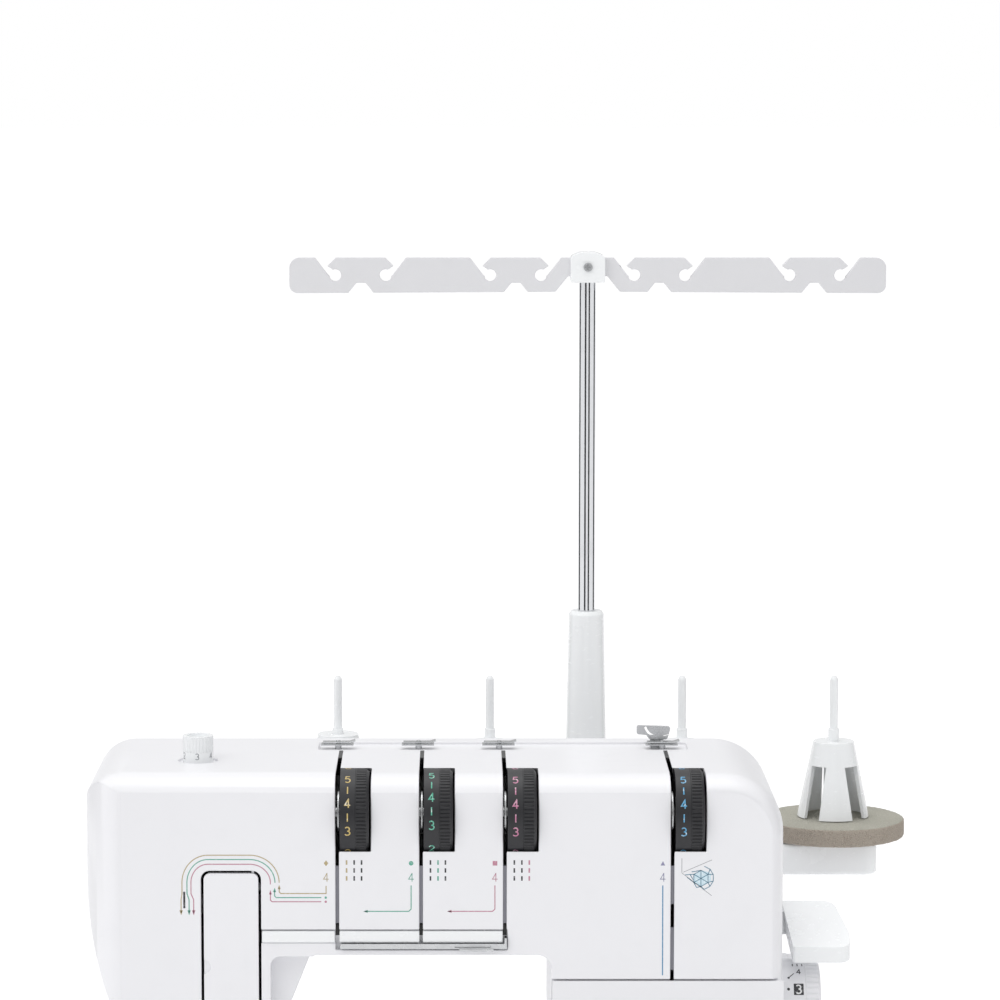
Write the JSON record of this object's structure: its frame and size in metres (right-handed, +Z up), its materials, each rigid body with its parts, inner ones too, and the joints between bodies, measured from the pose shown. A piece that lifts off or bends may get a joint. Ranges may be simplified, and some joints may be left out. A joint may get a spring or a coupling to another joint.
{
  "type": "serger overlock machine",
  "caption": "White table-top serger of the cover stitch kind: free arm, thumb-wheel tension dials, spool stand with foam pads and a telescopic thread tree.",
  "frame": {"origin": "on the table, under the middle of the whole machine's box", "axes": "+X to the operator's right, +Y to the back, +Z up; the needles, dials and covers face -Y"},
  "size_m": [0.434, 0.262, 0.5],
  "materials": {
    "white_plastic": "smooth satin-gloss moulded ABS",
    "base_plastic": "fine textured moulding",
    "black_plastic": "fine satin moulding",
    "pulley_plastic": "moulded nylon",
    "silver_plastic": "pearl-grey satin moulding",
    "chrome": "polished chrome plate",
    "steel": "ground and plated steel",
    "cast_metal": "as-cast with machined bores",
    "motor_paint": "black enamel",
    "rubber": "matt rubber",
    "foam": "open-cell foam, grey-beige",
    "lens": "clear moulded lens"
  },
  "bodies": {
    "machine": {"base_tray": "base_plastic", "bottom_plate": "base_plastic", "rubber_feet": "rubber", "front_casing": "white_plastic", "rear_casing": "white_plastic", "casing_screws": "steel", "hinge_pins": "steel", "bed_casing": "white_plastic", "needle_plate": "steel", "inner_frame": "cast_metal", "drive_belts": "rubber", "motor": "motor_paint", "presser_spring": "steel", "tension_brackets": "steel", "tension_discs": "steel", "ledge_strips": "white_plastic", "guide_plate": "steel", "thread_clips": "steel", "guide_bracket": "steel", "power_inlet": "black_plastic", "sewing_lamp": "lens", "spool_stand": "white_plastic", "spool_pins": "white_plastic", "foam_pads": "foam", "tree_post": "white_plastic"},
    "tree_mast": {"tree_rod": "chrome"},
    "tree_head": {"tree_plate": "silver_plastic", "tree_hub": "silver_plastic", "hub_screw": "steel"},
    "wheel": {"handwheel": "white_plastic", "main_shaft": "steel", "shaft_pulleys": "pulley_plastic"},
    "upper_drive": {"upper_shaft": "steel", "upper_pulley": "pulley_plastic", "needle_crank": "steel"},
    "motor_rotor": {"motor_pulley": "pulley_plastic"},
    "needle_drive": {"needle_bar": "chrome", "needle_clamp": "steel", "needles": "steel", "needle_link": "steel"},
    "presser": {"presser_bar": "chrome", "presser_foot": "steel"},
    "lifter": {"lifter_lever": "white_plastic"},
    "pressure_screw": {"pressure_knob": "white_plastic"},
    "looper_rocker": {"looper": "steel"},
    "feed": {"feed_dog": "steel"},
    "face_door": {"face_cover": "white_plastic"},
    "looper_door": {"looper_cover": "white_plastic"},
    "table": {"extension_table": "white_plastic"},
    "stitch_setting": {"stitch_dial": "white_plastic"},
    "feed_setting": {"feed_dial": "white_plastic"},
    "switch": {"power_switch": "black_plastic"},
    "dial_1": {"tension_dial_1": "black_plastic"},
    "cone_1": {"spool_cone_1": "white_plastic"},
    "dial_2": {"tension_dial_2": "black_plastic"},
    "cone_2": {"spool_cone_2": "white_plastic"},
    "dial_3": {"tension_dial_3": "black_plastic"},
    "cone_3": {"spool_cone_3": "white_plastic"},
    "dial_4": {"tension_dial_4": "black_plastic"},
    "cone_4": {"spool_cone_4": "white_plastic"}
  },
  "joints": [
    {"name": "tree_slide", "type": "slide", "parent": "machine", "child": "tree_mast", "axis": [0, 0, 1], "range_m": [-0.1, 0]},
    {"name": "tree_swivel", "type": "hinge", "parent": "tree_mast", "child": "tree_head", "pos_m": [0.0425, 0.092, 0.4837], "axis": [0, 0, 1], "range_deg": [-90, 90]},
    {"name": "cone_1_lift", "type": "slide", "parent": "machine", "child": "cone_1", "axis": [0, 0, 1], "range_m": [0, 0.08]},
    {"name": "cone_2_lift", "type": "slide", "parent": "machine", "child": "cone_2", "axis": [0, 0, 1], "range_m": [0, 0.08]},
    {"name": "cone_3_lift", "type": "slide", "parent": "machine", "child": "cone_3", "axis": [0, 0, 1], "range_m": [0, 0.08]},
    {"name": "cone_4_lift", "type": "slide", "parent": "machine", "child": "cone_4", "axis": [0, 0, 1], "range_m": [0, 0.08]},
    {"name": "dial_1_turn", "type": "hinge", "parent": "machine", "child": "dial_1", "pos_m": [-0.0866, -0.081, 0.2258], "axis": [1, 0, 0], "range_deg": [-140, 175]},
    {"name": "dial_2_turn", "type": "hinge", "parent": "machine", "child": "dial_2", "pos_m": [-0.0446, -0.081, 0.2258], "axis": [1, 0, 0], "range_deg": [-140, 175]},
    {"name": "dial_3_turn", "type": "hinge", "parent": "machine", "child": "dial_3", "pos_m": [-0.0026, -0.081, 0.2258], "axis": [1, 0, 0], "range_deg": [-140, 175]},
    {"name": "dial_4_turn", "type": "hinge", "parent": "machine", "child": "dial_4", "pos_m": [0.0814, -0.081, 0.2258], "axis": [1, 0, 0], "range_deg": [-140, 175]},
    {"name": "pressure_turn", "type": "hinge", "parent": "machine", "child": "pressure_screw", "pos_m": [-0.1605, -0.048, 0.247], "axis": [0, 0, 1], "range_deg": [-360, 360]},
    {"name": "lifter_raise", "type": "hinge", "parent": "machine", "child": "lifter", "pos_m": [0.1365, -0.008, 0.157], "axis": [-1, 0, 0], "range_deg": [0, 25]},
    {"name": "presser_slide", "type": "slide", "parent": "machine", "child": "presser", "axis": [0, 0, 1], "range_m": [0, 0.006], "deforming": ["presser_spring"]},
    {"name": "wheel_spin", "type": "hinge", "parent": "machine", "child": "wheel", "pos_m": [0.1365, -0.05, 0.05], "axis": [1, 0, 0], "continuous": true},
    {"name": "upper_spin", "type": "hinge", "parent": "machine", "child": "upper_drive", "pos_m": [0.06, -0.066, 0.186], "axis": [1, 0, 0], "continuous": true},
    {"name": "motor_spin", "type": "hinge", "parent": "machine", "child": "motor_rotor", "pos_m": [0.112, -0.003, 0.052], "axis": [1, 0, 0], "continuous": true},
    {"name": "needle_slide", "type": "slide", "parent": "machine", "child": "needle_drive", "axis": [0, 0, 1], "range_m": [-0.026, 0]},
    {"name": "looper_rock", "type": "hinge", "parent": "machine", "child": "looper_rocker", "pos_m": [-0.148, -0.0634, 0.03], "axis": [0, 1, 0], "range_deg": [-10, 10]},
    {"name": "feed_slide", "type": "slide", "parent": "machine", "child": "feed", "axis": [0, 1, 0], "range_m": [-0.002, 0.002]},
    {"name": "face_cover_hinge", "type": "hinge", "parent": "machine", "child": "face_door", "pos_m": [-0.1304, -0.0958, 0.118], "axis": [0, 0, 1], "range_deg": [0, 80]},
    {"name": "looper_cover_hinge", "type": "hinge", "parent": "machine", "child": "looper_door", "pos_m": [0.0765, -0.1294, 0.0224], "axis": [1, 0, 0], "range_deg": [0, 85]},
    {"name": "table_slide", "type": "slide", "parent": "machine", "child": "table", "axis": [-1, 0, 0], "range_m": [0, 0.22]},
    {"name": "stitch_dial_turn", "type": "hinge", "parent": "machine", "child": "stitch_setting", "pos_m": [0.1365, -0.053, 0.122], "axis": [1, 0, 0], "range_deg": [-60, 60]},
    {"name": "feed_dial_turn", "type": "hinge", "parent": "machine", "child": "feed_setting", "pos_m": [0.1365, 0, 0.118], "axis": [1, 0, 0], "range_deg": [-90, 90]},
    {"name": "switch_rock", "type": "hinge", "parent": "machine", "child": "switch", "pos_m": [0.1275, 0.0095, 0.051], "axis": [0, 1, 0], "range_deg": [0, 16]}
  ],
  "couplings": [
    {"joint": "presser_slide", "follows": "lifter_raise", "m_per_rad": 0.013751},
    {"joint": "upper_spin", "follows": "wheel_spin", "ratio": 1},
    {"joint": "motor_spin", "follows": "wheel_spin", "ratio": 4}
  ]
}
